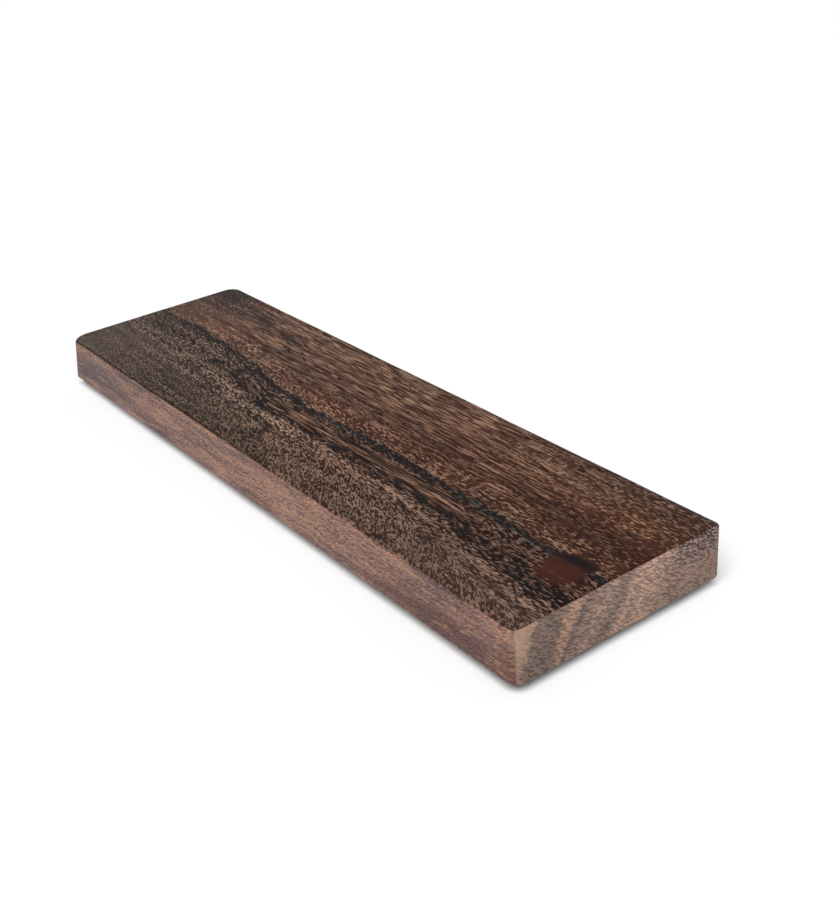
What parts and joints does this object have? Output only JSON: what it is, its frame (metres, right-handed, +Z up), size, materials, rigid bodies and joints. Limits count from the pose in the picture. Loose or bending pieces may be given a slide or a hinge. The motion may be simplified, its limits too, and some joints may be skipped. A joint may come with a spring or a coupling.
{
  "type": "wooden wrist rest",
  "caption": "Solid dark hardwood wrist rest for a compact keyboard: a flat plank with eased edges that stands on round rubber feet.",
  "frame": {"origin": "middle of the plank's footprint, on the surface that the rubber feet stand on", "axes": "+X along the plank's length, +Y towards the keyboard, +Z up through the thickness"},
  "size_m": [0.291, 0.0804, 0.0219],
  "materials": {
    "walnut": "streaked dark hardwood, sanded smooth, thin satin oil finish",
    "rubber": "matte black moulded rubber",
    "adhesive": "matte grey double-sided foam tape"
  },
  "bodies": {
    "root": {"wood_block": "walnut", "rubber_foot_front_left": "rubber", "rubber_foot_front_middle": "rubber", "rubber_foot_front_right": "rubber", "rubber_foot_back_left": "rubber", "rubber_foot_back_middle": "rubber", "rubber_foot_back_right": "rubber", "foot_adhesive_front_left": "adhesive", "foot_adhesive_front_middle": "adhesive", "foot_adhesive_front_right": "adhesive", "foot_adhesive_back_left": "adhesive", "foot_adhesive_back_middle": "adhesive", "foot_adhesive_back_right": "adhesive"}
  },
  "joints": []
}
